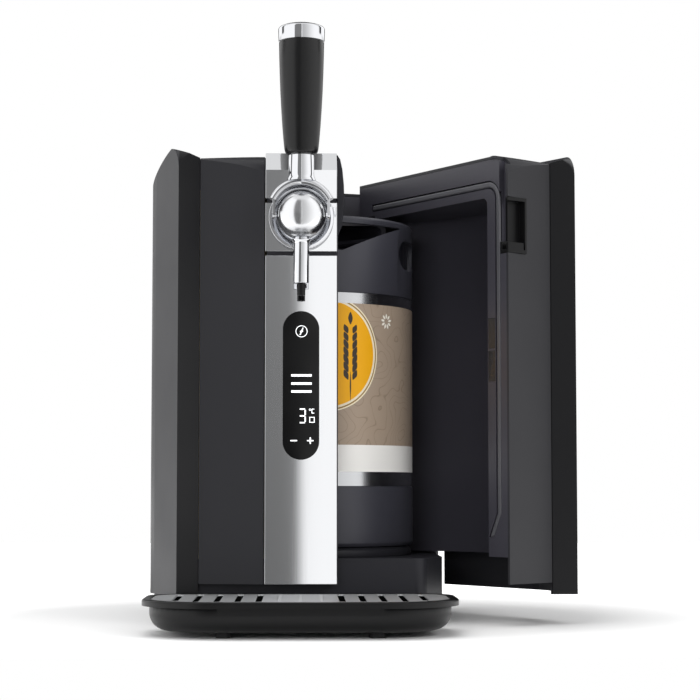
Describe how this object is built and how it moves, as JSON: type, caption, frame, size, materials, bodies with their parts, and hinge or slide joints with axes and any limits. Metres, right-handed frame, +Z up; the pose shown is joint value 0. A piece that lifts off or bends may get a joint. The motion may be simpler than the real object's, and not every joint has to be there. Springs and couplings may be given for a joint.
{
  "type": "mini keg beer dispenser",
  "caption": "Countertop keg dispenser with side door, chrome ball tap with upright lever, display column and drip tray.",
  "frame": {"origin": "on the keg's axis at the level of the table, inside the rubber foot ring", "axes": "+X to the right of the front, +Y to the back, +Z up"},
  "size_m": [0.3678, 0.4458, 0.5052],
  "materials": {
    "graphite_skin": "satin",
    "black_plastic": "satin",
    "dark_liner": "satin",
    "collar_plastic": "matte",
    "brushed_steel": "brushed",
    "polished_chrome": "polished",
    "keg_steel": "satin",
    "pressed_steel": "satin",
    "label_film": "satin",
    "gloss_window": "gloss",
    "circuit_board": "satin",
    "rubber": "matte",
    "foam": "matte",
    "aluminium": "satin",
    "ceramic_module": "matte",
    "clear_hose": "gloss"
  },
  "bodies": {
    "cabinet": {"left_front_panel": "graphite_skin", "left_side_shell": "graphite_skin", "right_rear_shell": "graphite_skin", "top_cover": "graphite_skin", "back_cover": "black_plastic", "base_pan": "black_plastic", "base_plate": "pressed_steel", "foot_ring": "rubber", "keg_seat_ring": "black_plastic", "compartment_liner": "dark_liner", "insulation": "foam", "hinge_post": "black_plastic", "hinge_pins": "pressed_steel", "steel_fascia": "brushed_steel", "tap_middle_block": "brushed_steel", "tap_upper_block": "brushed_steel", "column_side_cover": "black_plastic", "column_frame": "black_plastic", "display_window": "gloss_window", "display_board": "circuit_board", "tap_neck": "polished_chrome", "tap_ball": "polished_chrome", "tap_collar": "polished_chrome", "tap_latch": "polished_chrome", "spout_tube": "polished_chrome", "beer_line": "clear_hose", "cold_plate": "aluminium", "cold_block": "aluminium", "thermoelectric_module": "ceramic_module", "heat_sink": "aluminium", "fan_frame": "black_plastic", "power_supply": "black_plastic", "control_board": "circuit_board", "air_pump": "black_plastic", "air_line": "clear_hose", "mains_inlet": "black_plastic", "switch_housing": "black_plastic"},
    "door": {"door_skin": "graphite_skin", "door_front_panel": "graphite_skin", "door_pull": "black_plastic", "door_liner": "dark_liner", "door_foam": "foam", "door_seal": "rubber", "door_catch": "pressed_steel", "door_knuckles": "black_plastic"},
    "tap_lever": {"lever_shaft": "polished_chrome", "lever_yoke": "polished_chrome", "lever_grip": "black_plastic", "grip_cap": "polished_chrome"},
    "keg": {"keg_shell": "keg_steel", "keg_label": "label_film", "keg_base_ring": "collar_plastic", "keg_collar": "collar_plastic", "keg_valve": "black_plastic"},
    "drip_tray": {"drip_bowl": "black_plastic", "drip_rim": "black_plastic", "tray_feet": "rubber"},
    "grille": {"drip_grille": "brushed_steel"},
    "fan": {"fan_rotor": "black_plastic"},
    "rocker": {"power_rocker": "black_plastic"}
  },
  "joints": [
    {"name": "door_hinge", "type": "hinge", "parent": "cabinet", "child": "door", "pos_m": [0.118, 0.095, 0.2], "axis": [0, 0, 1], "range_deg": [-35, 60]},
    {"name": "lever_tilt", "type": "hinge", "parent": "cabinet", "child": "tap_lever", "pos_m": [0, -0.156, 0.344], "axis": [1, 0, 0], "range_deg": [0, 60]},
    {"name": "keg_lift", "type": "slide", "parent": "cabinet", "child": "keg", "axis": [0, 0, 1], "range_m": [0, 0.009], "deforming": ["beer_line", "air_line"]},
    {"name": "tray_slide", "type": "slide", "parent": "cabinet", "child": "drip_tray", "axis": [0, -1, 0], "range_m": [0, 0.12]},
    {"name": "grille_lift", "type": "slide", "parent": "drip_tray", "child": "grille", "axis": [0, 0, 1], "range_m": [0, 0.04]},
    {"name": "fan_spin", "type": "hinge", "parent": "cabinet", "child": "fan", "pos_m": [0, 0.155, 0.2], "axis": [0, 1, 0], "continuous": true},
    {"name": "rocker_tip", "type": "hinge", "parent": "cabinet", "child": "rocker", "pos_m": [-0.104, 0.167, 0.074], "axis": [1, 0, 0], "range_deg": [0, 16]}
  ]
}
